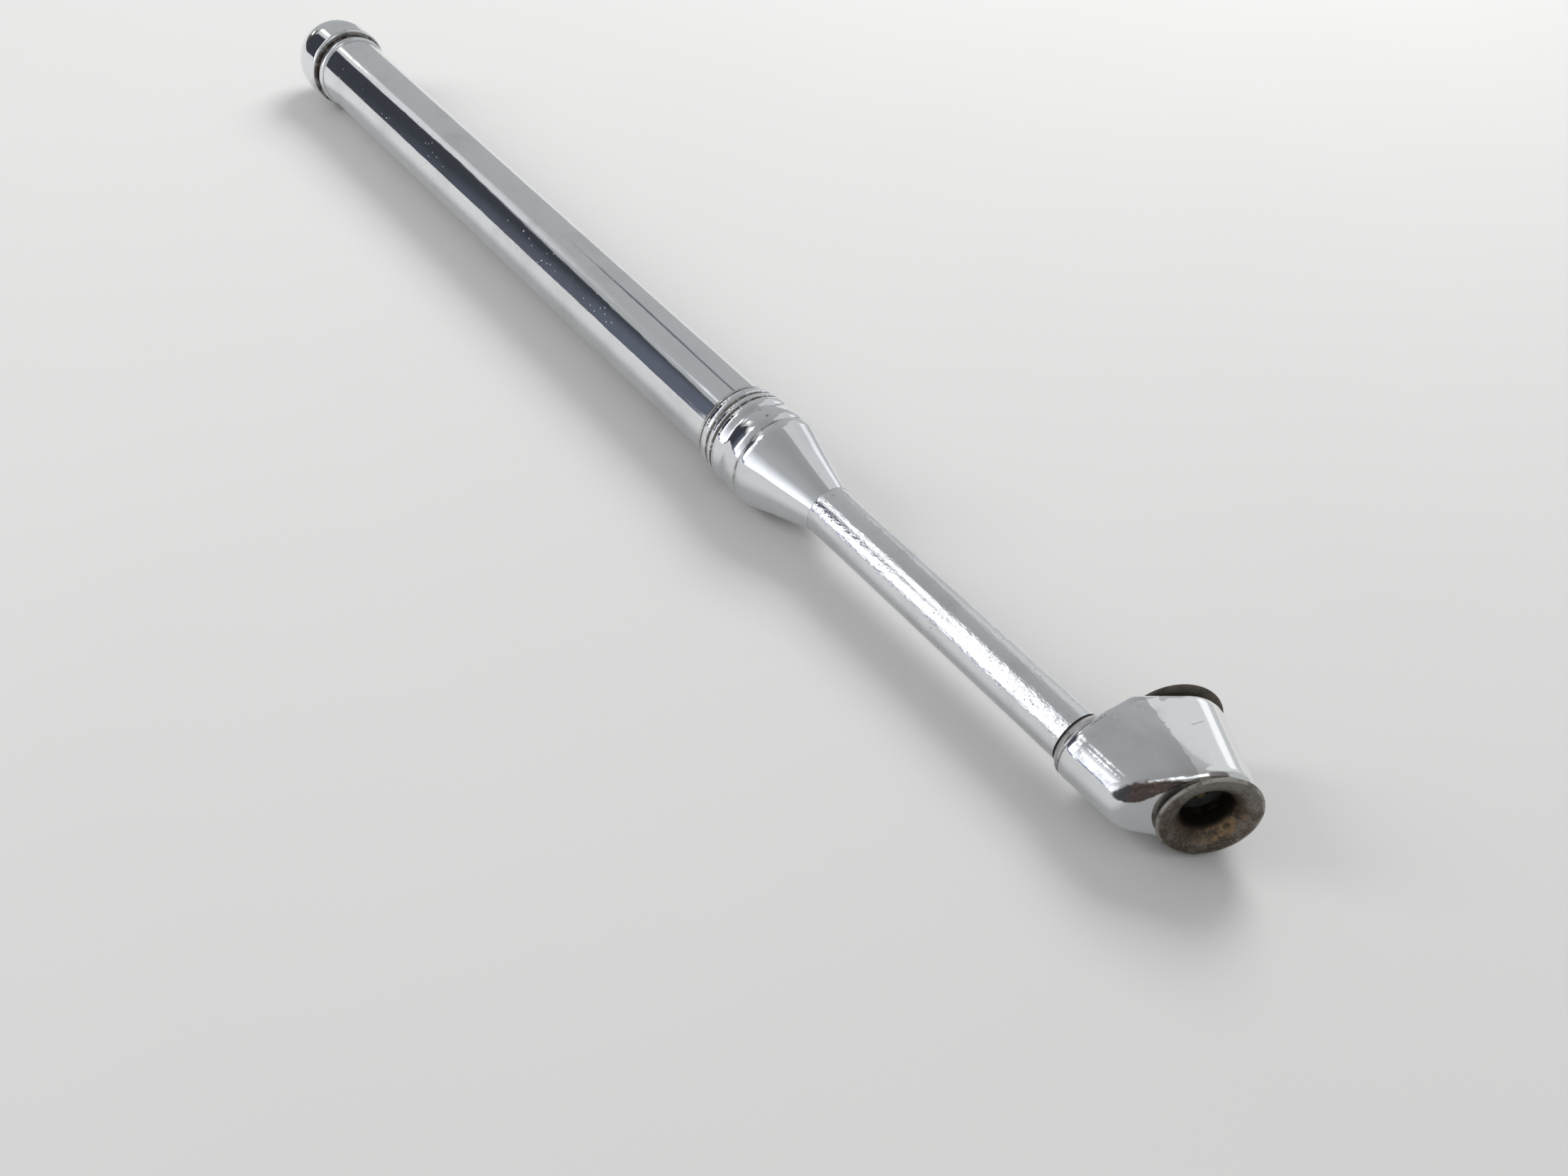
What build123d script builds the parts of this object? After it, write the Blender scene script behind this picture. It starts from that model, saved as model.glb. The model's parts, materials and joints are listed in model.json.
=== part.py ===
"""Truck-pattern tyre pressure gauge with a double-footed chuck, in millimetres.

The gauge lies as it rests on a bench, +Z up, with its barrel along X and its chuck at +X.  The
origin is on the bench, below the middle of the gauge.  The level axis is held up by two circles of
one radius, the cap's skirt and the ferrule's bead.  The chuck leans over sideways until the rim
of its rear foot touches the bench too.
"""
import os
from math import asin, cos, degrees, radians, sin

from build123d import *

os.makedirs("parts", exist_ok=True)

# ------------------------------------------------------------------ driving dimensions
resting_radius = 9.9  # the cap's skirt and the ferrule's bead
fit_gap = 0.05  # radial gap of a fixed piece in its seat
slide_gap = 0.1  # radial gap of a piece that slides

# barrel
barrel_radius = 8.5
barrel_wall = 0.9
barrel_length = 176.4
collar_width = 6.1
collar_ridges = 4
collar_low_radius = 8.85
collar_high_radius = 9.75
ridge_depth = 0.25

# end cap
dome_length = 10.5
skirt_length = 5.1
skirt_edge_rounding = 1.1
cap_spigot_length = 10.0
cap_cavity_radius = 5.6
cap_end_wall = 10.5
lock_ring_radius = 9.05
lock_ring_width = 1.8
lock_ring_gap = 1.0

# ferrule
bead_width = 5.7
bead_rise = 0.6
ferrule_groove_width = 1.0
shoulder_width = 2.0
cone_length = 15.1
cone_end_radius = 5.5
ferrule_spigot_length = 9.0
gasket_thickness = 0.8
strainer_radius = 4.5
strainer_thickness = 1.6
strainer_holes = 6
strainer_hole_radius = 0.4

# stem
stem_radius = 5.0
stem_bore_radius = 2.6
stem_exposed_length = 66.8
stem_engagement = 12.0
tenon_radius = 4.2
tenon_length = 6.5
stem_washer_thickness = 1.4
stem_washer_inset = 0.3

# chuck head
head_angle = 30.0  # between the stem and the line through the two feet
head_offset = 12.7  # sideways, from the stem's axis to the middle of the head
head_reach = 13.15  # along the stem, from the socket's face to the middle of the head
head_radius = 8.5
head_taper = 5.3  # how much each side of the head leans in towards the stem
head_flare = 16.0  # how much each side leans out from the socket
head_end_rounding = 1.5
socket_radius = 6.2
socket_clearance = 0.5  # beyond the stem's tenon
passage_radius = 1.6

# feet
foot_radius = 8.9
foot_rim_thickness = 0.6
foot_standoff = 1.35  # from the head's end to the foot's face
foot_neck_radius = 6.8
foot_shank_radius = 6.15
valve_bore_radius = 4.3
valve_bore_length = 3.0
seat_relief_radius = 4.7  # the wider space that the pin's end stands in, beside the washer
seat_relief_length = 1.8
foot_lip = 1.8
foot_half_span = 10.85  # from the middle of the head to a foot's face
foot_washer_thickness = 2.0
foot_washer_bore_radius = 2.5

# depressor
pin_radius = 1.1
pin_reach = 5.8
collar_thickness = 1.2
pin_collar_radius = 6.0
flute_radius = 1.3
flute_count = 4
pin_seal_radius = 4.2
pin_seal_thickness = 0.6

# piston and spring
piston_travel = 62.0
piston_radius = 7.2
piston_flange = 2.5
piston_boss_radius = 5.2
piston_boss_length = 6.0
piston_home_gap = 0.5
stud_radius = 2.0
cup_depth = 6.0
cup_base = 1.5
cup_lip = 1.2
stud_end = 0.4
spreader_thickness = 1.2
nut_flats = 7.0
nut_thickness = 2.4
spring_wire_radius = 0.7
spring_radius = 6.3
spring_turns = 12
spring_seat_thickness = 1.2
spring_end_gap = 0.15
bar_clear_radius = 4.0

# indicator
bar_width = 5.0
bar_edge = 0.4
bar_end_gap = 0.2
button_radius = 3.9
button_thickness = 2.2
tail_radius = 4.6
tail_thickness = 2.4
mark_count = 24
long_mark_count = 6
short_mark = 1.4
long_mark = 2.6
mark_width = 0.3
mark_depth = 0.15
guide_length = 8.0
clip_thickness = 0.4
clip_leaf_width = 3.2
clip_leaf_length = 5.4

# ------------------------------------------------------------------ stations along the axis
cap_length = dome_length + skirt_length
foot_forward = foot_half_span * cos(radians(head_angle)) + foot_radius * sin(radians(head_angle))
overall_length = (
    cap_length + barrel_length + bead_width + ferrule_groove_width + shoulder_width + cone_length
    + stem_exposed_length + stem_washer_thickness + head_reach + foot_forward
)
cap_tip = -overall_length / 2
dome_end = cap_tip + dome_length
barrel_start = dome_end + skirt_length
barrel_end = barrel_start + barrel_length
bead_end = barrel_end + bead_width
cone_start = bead_end + ferrule_groove_width
cone_shoulder = cone_start + shoulder_width
cone_end = cone_shoulder + cone_length
stem_start = cone_end - stem_engagement
stem_shoulder = cone_end + stem_exposed_length
socket_face = stem_shoulder + stem_washer_thickness
head_middle = socket_face + head_reach
barrel_bore = barrel_radius - barrel_wall
spigot_end = barrel_start + cap_spigot_length
guide_start = spigot_end - guide_length
cap_cavity_start = cap_tip + cap_end_wall
collar_start = barrel_end - collar_width
ferrule_back = barrel_end - ferrule_spigot_length
piston_face = ferrule_back - piston_home_gap - cup_depth
cup_inner_radius = barrel_bore - slide_gap - cup_lip

# ------------------------------------------------------------------ where the gauge lies
rear_foot_offset = head_offset + foot_half_span * sin(radians(head_angle))
lean = asin((resting_radius - foot_radius) / rear_foot_offset)
side_reach = rear_foot_offset * cos(lean) + foot_radius * cos(radians(head_angle))
axis_y = -(side_reach - resting_radius) / 2
axis_z = resting_radius
gauge_axis = Axis((0, axis_y, axis_z), (1, 0, 0))
side_profile = Plane(origin=(0, axis_y, axis_z), x_dir=(1, 0, 0), z_dir=(0, -1, 0))

along = Vector(1, 0, 0)
outward = Vector(0, cos(lean), -sin(lean))
head_up = Vector(0, sin(lean), cos(lean))
forward = along * cos(radians(head_angle)) - outward * sin(radians(head_angle))
sideways = along * sin(radians(head_angle)) + outward * cos(radians(head_angle))
axis_point = Vector(0, axis_y, axis_z)
head_centre = axis_point + along * head_middle + outward * head_offset


def across(x):
    """The plane square to the barrel's axis at station x, facing +X."""
    return Plane(origin=(x, axis_y, axis_z), x_dir=(0, 1, 0), z_dir=(1, 0, 0))


def outer_rims(piece):
    """The circular edges of a turned piece that have its largest radius."""
    return piece.edges().filter_by(GeomType.CIRCLE).group_by(SortBy.RADIUS)[-1]


def save(piece, name):
    piece.part.label = name
    export_step(piece.part, f"parts/{name}.step")


# ------------------------------------------------------------------ end cap
with BuildPart() as end_cap:
    with BuildSketch(side_profile):
        with BuildLine():
            Polyline(
                (cap_tip, 0),
                (spigot_end, 0),
                (spigot_end, barrel_bore - fit_gap),
                (barrel_start, barrel_bore - fit_gap),
                (barrel_start, resting_radius),
                (dome_end, resting_radius),
            )
            EllipticalCenterArc((dome_end, 0), dome_length, resting_radius, start_angle=90, arc_size=90)
        make_face()
    revolve(axis=gauge_axis)
    fillet(outer_rims(end_cap).sort_by(Axis.X)[-1], skirt_edge_rounding)
    with BuildSketch(across(cap_cavity_start)):
        Circle(cap_cavity_radius)
    extrude(amount=spigot_end - cap_cavity_start, mode=Mode.SUBTRACT)
    with BuildSketch(across(cap_tip)):
        Rectangle(bar_width + 2 * slide_gap, bar_width + 2 * slide_gap)
    extrude(amount=cap_length, mode=Mode.SUBTRACT)
    with BuildSketch(across(cap_tip)):
        Circle(button_radius + slide_gap)
    extrude(amount=button_thickness + slide_gap, mode=Mode.SUBTRACT)
save(end_cap, "end_cap")

# The bar's guide fills the mouth of the cap's cavity, with the friction clip behind it.
with BuildPart() as bar_guide:
    with BuildSketch(across(guide_start)):
        Circle(cap_cavity_radius - fit_gap)
        Rectangle(bar_width + 2 * slide_gap, bar_width + 2 * slide_gap, mode=Mode.SUBTRACT)
    extrude(amount=guide_length)
save(bar_guide, "bar_guide")

# Two leaves press on the bar, so that it stays out at its reading.
leaf_middle = bar_width / 2 + slide_gap + clip_thickness / 2
with BuildPart() as friction_clip:
    with BuildSketch(across(guide_start)):
        Circle(cap_cavity_radius - fit_gap)
        Rectangle(bar_width + 2 * slide_gap, bar_width + 2 * slide_gap, mode=Mode.SUBTRACT)
    extrude(amount=-clip_thickness)
    with BuildSketch(across(guide_start)):
        with GridLocations(0, 2 * leaf_middle, 1, 2):
            Rectangle(clip_leaf_width, clip_thickness)
    extrude(amount=-clip_thickness - clip_leaf_length)
save(friction_clip, "friction_clip")

# ------------------------------------------------------------------ barrel
with BuildPart() as barrel_tube:
    with BuildSketch(across(barrel_start)):
        Circle(barrel_radius)
        Circle(barrel_bore, mode=Mode.SUBTRACT)
    extrude(amount=barrel_length - gasket_thickness)
save(barrel_tube, "barrel_tube")

with BuildPart() as lock_ring:
    with BuildSketch(across(barrel_start + lock_ring_gap)):
        Circle(lock_ring_radius)
        Circle(barrel_radius + fit_gap, mode=Mode.SUBTRACT)
    extrude(amount=lock_ring_width)
    fillet(outer_rims(lock_ring), (lock_ring_radius - barrel_radius) * 0.6)
save(lock_ring, "lock_ring")


def ridge_crest(index):
    share = index / (collar_ridges - 1)
    return collar_low_radius + (collar_high_radius - collar_low_radius) * share


def ridge_valley(index):
    return ridge_crest(max(index - 1, 0)) - ridge_depth


# Half-round ridges that grow towards the ferrule.
ridge_width = collar_width / collar_ridges
with BuildPart() as collar_rings:
    with BuildSketch(side_profile):
        with BuildLine():
            for index in range(collar_ridges):
                ridge_start = collar_start + index * ridge_width
                ThreePointArc(
                    (ridge_start, ridge_valley(index)),
                    (ridge_start + ridge_width / 2, ridge_crest(index)),
                    (ridge_start + ridge_width, ridge_valley(index + 1)),
                )
            Polyline(
                (barrel_end, ridge_valley(collar_ridges)),
                (barrel_end, barrel_radius + fit_gap),
                (collar_start, barrel_radius + fit_gap),
                (collar_start, ridge_valley(0)),
            )
        make_face()
    revolve(axis=gauge_axis)
save(collar_rings, "collar_rings")

with BuildPart() as ferrule_gasket:
    with BuildSketch(across(barrel_end - gasket_thickness)):
        Circle(barrel_radius)
        Circle(barrel_bore, mode=Mode.SUBTRACT)
    extrude(amount=gasket_thickness)
save(ferrule_gasket, "ferrule_gasket")

# ------------------------------------------------------------------ ferrule
bead_edge = resting_radius - bead_rise
with BuildPart() as cone_ferrule:
    with BuildSketch(side_profile):
        with BuildLine():
            Polyline(
                (cone_end, cone_end_radius),
                (cone_end, 0),
                (ferrule_back, 0),
                (ferrule_back, barrel_bore - fit_gap),
                (barrel_end, barrel_bore - fit_gap),
                (barrel_end, bead_edge),
            )
            ThreePointArc(
                (barrel_end, bead_edge),
                (barrel_end + bead_width / 2, resting_radius),
                (bead_end, bead_edge),
            )
            Line((bead_end, bead_edge), (cone_start, bead_edge))
            ThreePointArc(
                (cone_start, bead_edge),
                (cone_start + shoulder_width / 2, resting_radius),
                (cone_shoulder, bead_edge + bead_rise / 4),
            )
            Line((cone_shoulder, bead_edge + bead_rise / 4), (cone_end, cone_end_radius))
        make_face()
    revolve(axis=gauge_axis)
    with BuildSketch(across(stem_start)):
        Circle(stem_radius + fit_gap)
    extrude(amount=stem_engagement, mode=Mode.SUBTRACT)
    with BuildSketch(across(ferrule_back)):
        Circle(stem_bore_radius)
    extrude(amount=stem_start - ferrule_back, mode=Mode.SUBTRACT)
    with BuildSketch(across(ferrule_back)):
        Circle(strainer_radius)
    extrude(amount=strainer_thickness, mode=Mode.SUBTRACT)
save(cone_ferrule, "cone_ferrule")

with BuildPart() as inlet_strainer:
    with BuildSketch(across(ferrule_back)):
        Circle(strainer_radius - fit_gap)
        with PolarLocations(stem_bore_radius / 2, strainer_holes):
            Circle(strainer_hole_radius, mode=Mode.SUBTRACT)
    extrude(amount=strainer_thickness)
save(inlet_strainer, "inlet_strainer")

# ------------------------------------------------------------------ stem
with BuildPart() as stem_tube:
    with BuildSketch(across(stem_start)):
        Circle(stem_radius)
    extrude(amount=stem_shoulder - stem_start)
    with BuildSketch(across(stem_shoulder)):
        Circle(tenon_radius)
    extrude(amount=stem_washer_thickness + tenon_length)
    with BuildSketch(across(stem_start)):
        Circle(stem_bore_radius)
    extrude(amount=socket_face + tenon_length - stem_start, mode=Mode.SUBTRACT)
save(stem_tube, "stem_tube")

with BuildPart() as stem_washer:
    with BuildSketch(across(stem_shoulder)):
        Circle(stem_radius - stem_washer_inset)
        Circle(tenon_radius + fit_gap, mode=Mode.SUBTRACT)
    extrude(amount=stem_washer_thickness)
save(stem_washer, "stem_washer")

# ------------------------------------------------------------------ chuck head
# The head is what two crossed bars have in common.  One lies across the stem, through both feet,
# and thins towards the stem.  The other grows from the stem's socket towards the feet.
head_half_length = foot_half_span - foot_standoff
cross_axis = Axis(head_centre, forward)
cross_bore_radius = foot_shank_radius + fit_gap
bar_reach = 2 * (head_offset + head_reach)  # long enough to pass right through the head
socket_floor = socket_face + tenon_length + socket_clearance
passage_start = Vector(socket_floor, axis_y, axis_z)
passage = head_centre - passage_start


def round_nosed(radius, flank_angle):
    """An outline with a round nose about the origin and flanks that open by flank_angle."""
    flank = Vector(cos(radians(flank_angle)), sin(radians(flank_angle))) * bar_reach
    with BuildSketch() as outline:
        with BuildLine():
            nose = CenterArc((0, 0), radius, 90 + flank_angle, 180 - 2 * flank_angle)
            Polyline(nose @ 0, nose @ 0 + flank, nose @ 1 + Vector(flank.X, -flank.Y), nose @ 1)
        make_face()
    return outline.sketch


with BuildPart() as chuck_head:
    with BuildSketch(Plane(origin=head_centre, x_dir=-sideways, z_dir=forward)):
        add(round_nosed(head_radius, -head_taper))
    extrude(amount=head_half_length, both=True)
    with BuildSketch(Plane(origin=(socket_face, axis_y, axis_z), x_dir=outward, z_dir=along)):
        add(round_nosed(socket_radius, head_flare))
    extrude(amount=bar_reach, mode=Mode.INTERSECT)
    front_end = chuck_head.faces().sort_by(cross_axis)[-1]
    rear_end = chuck_head.faces().sort_by(cross_axis)[0]
    socket_end = chuck_head.faces().sort_by(Axis.X)[0]
    fillet(front_end.edges() + rear_end.edges() + socket_end.edges(), head_end_rounding)
    with BuildSketch(across(socket_face)):
        Circle(tenon_radius + fit_gap)
    extrude(amount=socket_floor - socket_face, mode=Mode.SUBTRACT)
    with BuildSketch(Plane(origin=passage_start, z_dir=passage)):
        Circle(passage_radius)
    extrude(amount=passage.length, mode=Mode.SUBTRACT)
    with BuildSketch(Plane(origin=head_centre, z_dir=forward)):
        Circle(cross_bore_radius)
    extrude(amount=foot_half_span, both=True, mode=Mode.SUBTRACT)
save(chuck_head, "chuck_head")

# ------------------------------------------------------------------ feet
# Both feet are alike, and face opposite ways on one axis.
lip_radius = valve_bore_radius + foot_lip
bore_back = foot_half_span - foot_lip - valve_bore_length
bore_floor = bore_back - seat_relief_length
chamber_half = bore_floor - foot_washer_thickness
rim_back = foot_half_span - foot_rim_thickness
for end, facing in (("front", forward), ("rear", -forward)):
    foot_profile = Plane(origin=head_centre, x_dir=facing, z_dir=facing.cross(head_up))
    foot_axis = Axis(head_centre, facing)

    with BuildPart() as foot:
        with BuildSketch(foot_profile):
            with BuildLine():
                Polyline(
                    (bore_back, valve_bore_radius),
                    (bore_back, seat_relief_radius),
                    (bore_floor, seat_relief_radius),
                    (bore_floor, foot_shank_radius),
                    (head_half_length, foot_shank_radius),
                    (head_half_length, foot_neck_radius),
                    (rim_back, foot_radius),
                    (foot_half_span, foot_radius),
                    (foot_half_span, lip_radius),
                )
                RadiusArc(
                    (foot_half_span, lip_radius),
                    (foot_half_span - foot_lip, valve_bore_radius),
                    foot_lip,
                )
                Line((foot_half_span - foot_lip, valve_bore_radius), (bore_back, valve_bore_radius))
            make_face()
        revolve(axis=foot_axis)
        fillet(outer_rims(foot), foot_rim_thickness * 0.3)
    save(foot, f"{end}_foot")

    with BuildPart() as foot_washer:
        with BuildSketch(Plane(origin=head_centre + facing * chamber_half, z_dir=facing)):
            Circle(foot_shank_radius)
            Circle(foot_washer_bore_radius, mode=Mode.SUBTRACT)
        extrude(amount=foot_washer_thickness)
    save(foot_washer, f"{end}_foot_washer")

    with BuildPart() as pin_seal:
        with BuildSketch(Plane(origin=head_centre + facing * (collar_thickness / 2), z_dir=facing)):
            Circle(pin_seal_radius)
            Circle(pin_radius, mode=Mode.SUBTRACT)
        extrude(amount=pin_seal_thickness)
    save(pin_seal, f"{end}_pin_seal")

# The floating pin opens the valve at one foot, and its seal shuts the other foot.
pin_travel = chamber_half - collar_thickness / 2 - pin_seal_thickness - slide_gap / 2
with BuildPart() as depressor_pin:
    with BuildSketch(Plane(origin=head_centre, z_dir=forward)):
        Circle(pin_collar_radius)
        with PolarLocations(pin_collar_radius, flute_count):
            Circle(flute_radius, mode=Mode.SUBTRACT)
    extrude(amount=collar_thickness / 2, both=True)
    with BuildSketch(Plane(origin=head_centre, z_dir=forward)):
        Circle(pin_radius)
    extrude(amount=pin_reach, both=True)
    chamfer(depressor_pin.faces().sort_by(cross_axis)[-1].edges(), pin_radius * 0.35)
    chamfer(depressor_pin.faces().sort_by(cross_axis)[0].edges(), pin_radius * 0.35)
save(depressor_pin, "depressor_pin")

# ------------------------------------------------------------------ piston
with BuildPart() as piston_body:
    with BuildSketch(across(piston_face)):
        Circle(piston_radius)
    extrude(amount=-piston_flange)
    with BuildSketch(across(piston_face - piston_flange)):
        Circle(piston_boss_radius)
    extrude(amount=-piston_boss_length)
    with BuildSketch(across(piston_face)):
        Circle(stud_radius)
    extrude(amount=cup_base + spreader_thickness + nut_thickness + stud_end)
save(piston_body, "piston_body")

with BuildPart() as piston_cup:
    with BuildSketch(across(piston_face)):
        Circle(barrel_bore - slide_gap)
        Circle(stud_radius + fit_gap, mode=Mode.SUBTRACT)
    extrude(amount=cup_depth)
    with BuildSketch(across(piston_face + cup_base)):
        Circle(cup_inner_radius)
    extrude(amount=cup_depth - cup_base, mode=Mode.SUBTRACT)
save(piston_cup, "piston_cup")

with BuildPart() as cup_spreader:
    with BuildSketch(across(piston_face + cup_base)):
        Circle(cup_inner_radius - fit_gap)
        Circle(stud_radius + fit_gap, mode=Mode.SUBTRACT)
    extrude(amount=spreader_thickness)
    chamfer(outer_rims(cup_spreader).sort_by(Axis.X)[-1], spreader_thickness * 0.6)
save(cup_spreader, "cup_spreader")

with BuildPart() as piston_nut:
    with BuildSketch(across(piston_face + cup_base + spreader_thickness)):
        RegularPolygon(nut_flats / 2, 6, major_radius=False)
        Circle(stud_radius + fit_gap, mode=Mode.SUBTRACT)
    extrude(amount=nut_thickness)
save(piston_nut, "piston_nut")

# ------------------------------------------------------------------ spring
with BuildPart() as spring_seat:
    with BuildSketch(across(spigot_end)):
        Circle(piston_radius)
        Circle(bar_clear_radius, mode=Mode.SUBTRACT)
    extrude(amount=spring_seat_thickness)
save(spring_seat, "spring_seat")

spring_start = spigot_end + spring_seat_thickness + spring_end_gap + spring_wire_radius
spring_stop = piston_face - piston_flange - spring_end_gap - spring_wire_radius
with BuildPart() as main_spring:
    with BuildLine() as coil:
        Helix(
            pitch=(spring_stop - spring_start) / spring_turns,
            height=spring_stop - spring_start,
            radius=spring_radius,
            center=(spring_start, axis_y, axis_z),
            direction=(1, 0, 0),
        )
    with BuildSketch(Plane(origin=coil.line @ 0, z_dir=coil.line % 0)):
        Circle(spring_wire_radius)
    sweep(path=coil.line, is_frenet=True)
save(main_spring, "main_spring")

# ------------------------------------------------------------------ indicator
bar_start = cap_tip + button_thickness
bar_end = piston_face - piston_flange - piston_boss_length - bar_end_gap
scale_length = piston_travel - button_thickness
with BuildPart() as indicator_bar:
    with BuildSketch(across(bar_start)):
        Rectangle(bar_width, bar_width)
        chamfer(vertices(), bar_edge)
    extrude(amount=bar_end - bar_start)
    for count, mark_length in ((mark_count, short_mark), (long_mark_count, long_mark)):
        spacing = scale_length / count
        scale_plane = Plane(
            origin=(bar_start + spacing * (count + 1) / 2, axis_y, axis_z + bar_width / 2), z_dir=(0, 0, 1)
        )
        with BuildSketch(scale_plane):
            with Locations((0, (mark_length - bar_width) / 2 + bar_edge)):
                with GridLocations(spacing, 0, count, 1):
                    Rectangle(mark_width, mark_length)
        extrude(amount=-mark_depth, mode=Mode.SUBTRACT)
save(indicator_bar, "indicator_bar")

with BuildPart() as bar_tail:
    with BuildSketch(across(bar_end)):
        Circle(tail_radius)
        Rectangle(bar_width + 2 * fit_gap, bar_width + 2 * fit_gap, mode=Mode.SUBTRACT)
    extrude(amount=-tail_thickness)
save(bar_tail, "bar_tail")

# The button carries on the curve of the dome.
with BuildPart() as bar_end_button:
    with BuildSketch(side_profile):
        with BuildLine():
            EllipticalCenterArc((dome_end, 0), dome_length, resting_radius, start_angle=90, arc_size=90)
            Polyline((cap_tip, 0), (dome_end, 0), (dome_end, resting_radius))
        make_face()
        with Locations((cap_tip + button_thickness / 2, button_radius / 2)):
            Rectangle(button_thickness, button_radius, mode=Mode.INTERSECT)
    revolve(axis=gauge_axis)
save(bar_end_button, "bar_end_button")

print(f"overall length {overall_length:.2f} mm, width {side_reach + resting_radius:.2f} mm")
print(f"head leans {degrees(lean):.2f} degrees, pin travels {pin_travel:.2f} mm each way")
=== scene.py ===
import json
import math

import bmesh
import bpy
from mathutils import Matrix, Vector


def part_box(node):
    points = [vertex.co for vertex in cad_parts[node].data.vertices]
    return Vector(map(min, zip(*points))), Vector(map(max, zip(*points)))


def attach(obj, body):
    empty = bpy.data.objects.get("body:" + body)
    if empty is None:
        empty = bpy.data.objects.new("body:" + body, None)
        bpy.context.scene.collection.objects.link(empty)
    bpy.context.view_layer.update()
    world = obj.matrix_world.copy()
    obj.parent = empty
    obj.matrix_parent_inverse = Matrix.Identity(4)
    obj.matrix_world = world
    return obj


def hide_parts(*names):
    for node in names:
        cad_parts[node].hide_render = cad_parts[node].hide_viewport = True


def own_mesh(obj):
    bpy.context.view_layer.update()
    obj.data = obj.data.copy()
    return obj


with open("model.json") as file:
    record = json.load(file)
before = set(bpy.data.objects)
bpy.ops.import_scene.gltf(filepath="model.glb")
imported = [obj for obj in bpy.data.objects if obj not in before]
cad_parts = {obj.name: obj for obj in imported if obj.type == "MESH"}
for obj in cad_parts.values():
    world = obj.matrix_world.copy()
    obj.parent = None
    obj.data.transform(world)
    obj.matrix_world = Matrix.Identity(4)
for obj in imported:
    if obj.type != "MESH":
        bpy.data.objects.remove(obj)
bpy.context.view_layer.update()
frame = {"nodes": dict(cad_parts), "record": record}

print("scene: the frame is loaded")

# Places that come from the frame: the gauge's axis, the stem, the chuck's own axes and the joints.
barrelLow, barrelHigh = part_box("barrel_tube")
axisPoint = (barrelLow + barrelHigh) / 2
stemLow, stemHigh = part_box("stem_tube")
stemRadius = (stemHigh.z - stemLow.z) / 2
valveSockets = {mount["name"]: mount for mount in frame["record"]["mounts"]}
frontSocket = valveSockets["front_valve_socket"]
rearSocket = valveSockets["rear_valve_socket"]
headMiddle = (Vector(frontSocket["pos_m"]) + Vector(rearSocket["pos_m"])) / 2
forward = Vector(frontSocket["axis"])
headUp = forward.cross(Vector((1, 0, 0))).normalized()
sideways = headUp.cross(forward)
headTurn = Matrix((sideways, headUp, forward)).transposed()  # columns are the head's own axes
unturned = Matrix.Identity(3)
clearance = 0.00002  # between a new piece and the solid inside it, in metres


# A socket that takes part in arithmetic. Every other node comes from its node method.
class Wire:
    def __init__(self, tree, socket=None):
        self.tree = tree
        self.socket = socket

    def node(self, kind, settings=None, sockets=None, out=0):
        made = self.tree.nodes.new(kind)
        for name, value in (settings or {}).items():
            setattr(made, name, value)
        for name, value in (sockets or {}).items():
            if isinstance(value, Wire):
                self.tree.links.new(value.socket, made.inputs[name])
            else:
                made.inputs[name].default_value = value
        return Wire(self.tree, made.outputs[out])

    def maths(self, operation, first, second=0.0):
        return self.node("ShaderNodeMath", {"operation": operation}, {0: first, 1: second})

    def __add__(self, other):
        return self.maths("ADD", self, other)

    def __radd__(self, other):
        return self.maths("ADD", other, self)

    def __sub__(self, other):
        return self.maths("SUBTRACT", self, other)

    def __rsub__(self, other):
        return self.maths("SUBTRACT", other, self)

    def __mul__(self, other):
        return self.maths("MULTIPLY", self, other)

    def __rmul__(self, other):
        return self.maths("MULTIPLY", other, self)

    def __truediv__(self, other):
        return self.maths("DIVIDE", self, other)

    def __rtruediv__(self, other):
        return self.maths("DIVIDE", other, self)

    def __neg__(self):
        return self.maths("MULTIPLY", self, -1)

    # 0 below low, 1 above high, and smooth between them
    def step(self, low, high):
        return self.node(
            "ShaderNodeMapRange",
            {"interpolation_type": "SMOOTHSTEP"},
            {"Value": self, "From Min": low, "From Max": high},
        )

    # the three numbers of a vector
    def parts(self):
        return [self.node("ShaderNodeSeparateXYZ", None, {"Vector": self}, out=axis) for axis in "XYZ"]

    def absolute(self):
        return self.maths("ABSOLUTE", self)

    def power(self, exponent):
        return self.maths("POWER", self, exponent)

    def larger(self, other):
        return self.maths("MAXIMUM", self, other)

    def smaller(self, other):
        return self.maths("MINIMUM", self, other)


def rgb(red, green, blue):
    return (red, green, blue, 1.0)


# The first colour where the mask is 0 and the second where it is 1. A mix of colours uses the node's
# sockets 0, 6 and 7, and its output 2.
def mixColours(mask, first, second):
    start = mask if isinstance(mask, Wire) else first
    return start.node(
        "ShaderNodeMix",
        {"data_type": "RGBA"},
        {0: mask, 6: first, 7: second},
        out=2,
    )


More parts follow.
